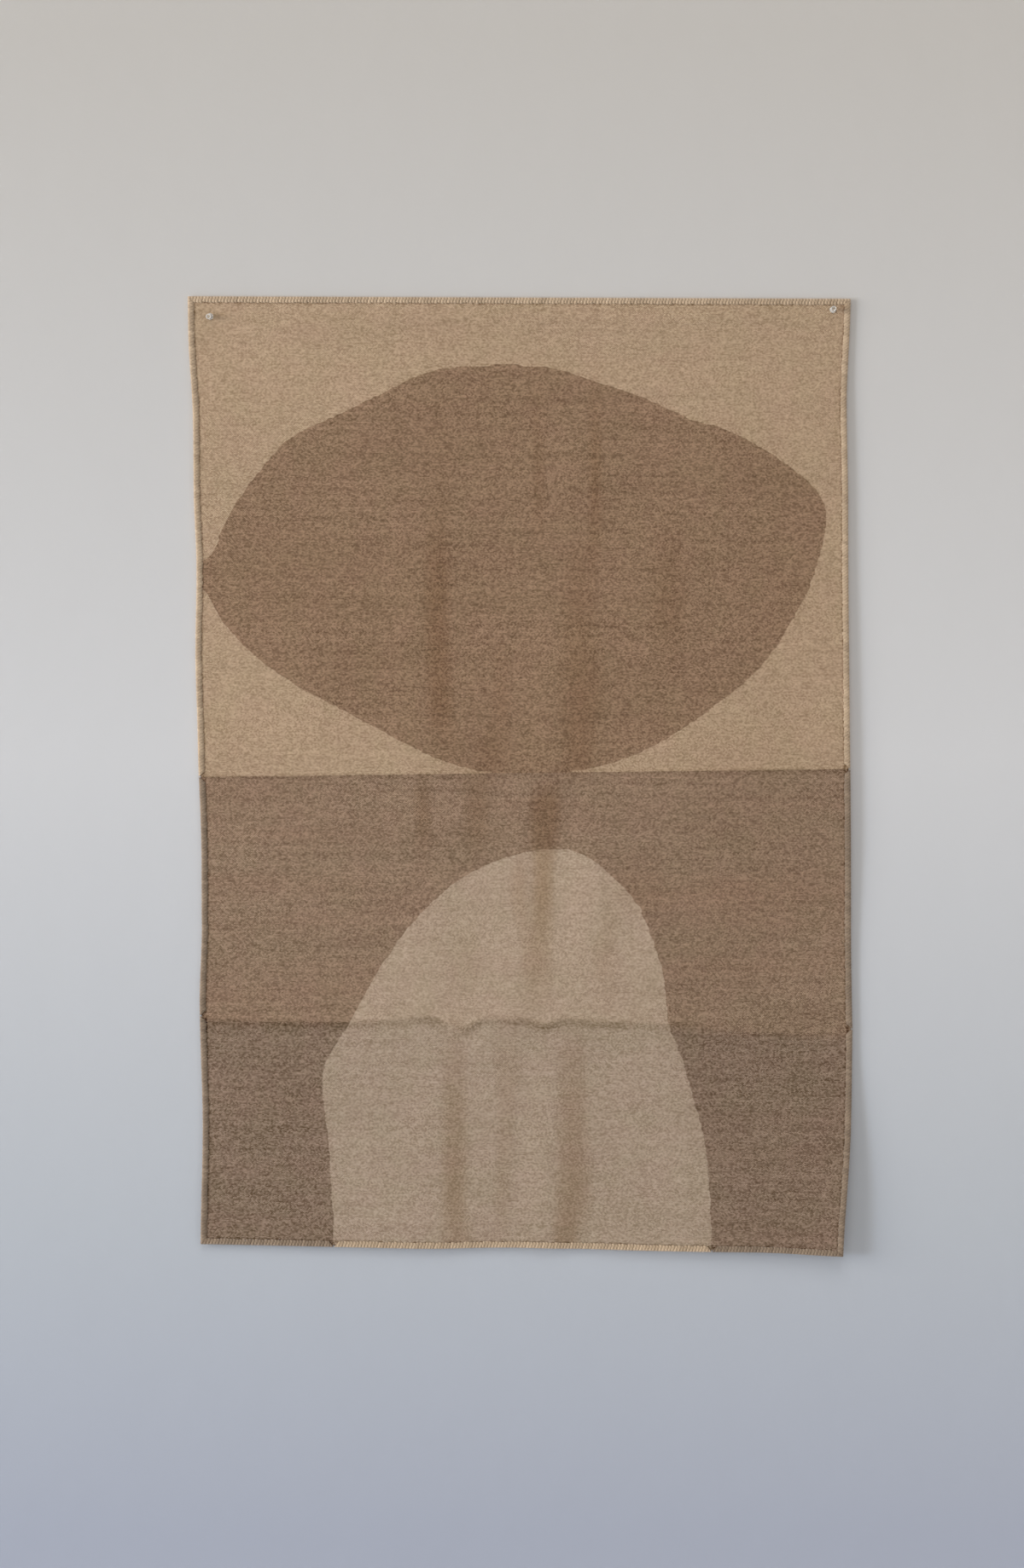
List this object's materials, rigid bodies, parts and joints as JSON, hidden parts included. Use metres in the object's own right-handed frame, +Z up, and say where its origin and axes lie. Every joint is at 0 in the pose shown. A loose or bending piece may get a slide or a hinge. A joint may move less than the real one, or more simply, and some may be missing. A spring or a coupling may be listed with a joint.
{
  "type": "tapestry wall hanging",
  "caption": "Flat-woven wool wall hanging with an oval over an arch, a serged edge, a fold crease near the foot, pinned to a wall at its top corners.",
  "frame": {"origin": "on the wall's face, midway between the two push pins", "axes": "+Y into the wall, +Z up, +X to the right as the hanging is looked at from the front"},
  "size_m": [0.9, 0.0237, 1.3059],
  "materials": {
    "light_wool": "weft-faced wool weave, undyed beige",
    "oval_wool": "weft-faced wool weave, mid brown",
    "ground_wool": "weft-faced wool weave, streaked brown",
    "arch_wool": "weft-faced wool weave, greyed beige",
    "dark_binding_yarn": "wrapped wool yarn, tan brown",
    "light_binding_yarn": "wrapped wool yarn, beige",
    "clear_plastic": "clear moulded plastic",
    "needle_steel": "drawn steel wire, plated"
  },
  "bodies": {
    "hanging": {"upper_ground": "light_wool", "lower_left_ground_wedge": "light_wool", "oval_motif": "oval_wool", "middle_ground": "ground_wool", "arch_motif_top": "arch_wool", "top_binding": "light_binding_yarn", "left_upper_binding": "light_binding_yarn", "right_upper_binding": "light_binding_yarn", "left_middle_binding": "dark_binding_yarn", "right_middle_binding": "dark_binding_yarn"},
    "lower_flap": {"arch_motif_foot": "arch_wool", "lower_left_ground": "ground_wool", "lower_right_ground": "ground_wool", "left_lower_binding": "dark_binding_yarn", "right_lower_binding": "dark_binding_yarn", "bottom_left_binding": "dark_binding_yarn", "bottom_arch_binding": "light_binding_yarn", "bottom_right_binding": "dark_binding_yarn"},
    "left_pin": {"left_pin_head": "clear_plastic", "left_pin_needle": "needle_steel"},
    "right_pin": {"right_pin_head": "clear_plastic", "right_pin_needle": "needle_steel"}
  },
  "joints": [
    {"name": "crease_fold", "type": "hinge", "parent": "hanging", "child": "lower_flap", "pos_m": [-0.43575, -0.0063, -0.95615], "axis": [-0.9998, 0, 0.0204], "range_deg": [0, 160]},
    {"name": "left_pin_pull", "type": "slide", "parent": "hanging", "child": "left_pin", "axis": [-0.1204, -0.9803, -0.1564], "range_m": [0, 0.02]},
    {"name": "right_pin_pull", "type": "slide", "parent": "hanging", "child": "right_pin", "axis": [0, -1, 0], "range_m": [0, 0.02]}
  ]
}
